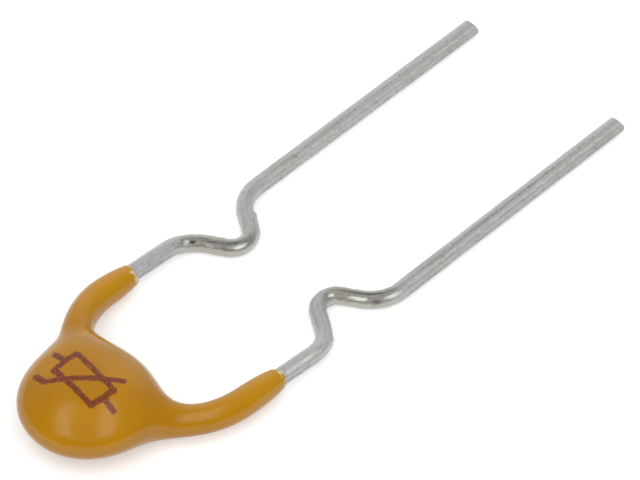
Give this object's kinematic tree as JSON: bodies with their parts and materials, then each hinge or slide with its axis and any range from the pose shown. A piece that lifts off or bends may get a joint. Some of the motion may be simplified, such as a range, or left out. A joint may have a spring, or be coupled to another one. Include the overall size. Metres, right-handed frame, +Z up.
{
  "type": "resettable fuse",
  "caption": "Radial-leaded resettable fuse: an amber dip-coated body with horns on kinked tinned wire leads.",
  "frame": {"origin": "on the table under the middle of the part's overall box", "axes": "+Z up from the table, +Y towards the cut ends of the leads, +X towards the right lead"},
  "size_m": [0.0058, 0.0184, 0.0018],
  "materials": {
    "epoxy": "glossy amber dip coat",
    "tinned_wire": "drawn tinned wire, satin",
    "chip_polymer": "carbon-filled polymer, matte",
    "nickel_foil": "nickel foil, satin",
    "solder": "bright solder"
  },
  "bodies": {
    "root": {"epoxy_coating": "epoxy", "lead_left": "tinned_wire", "lead_right": "tinned_wire", "ptc_chip": "chip_polymer", "foil_upper": "nickel_foil", "foil_lower": "nickel_foil", "solder_upper": "solder", "solder_lower": "solder"}
  },
  "joints": []
}
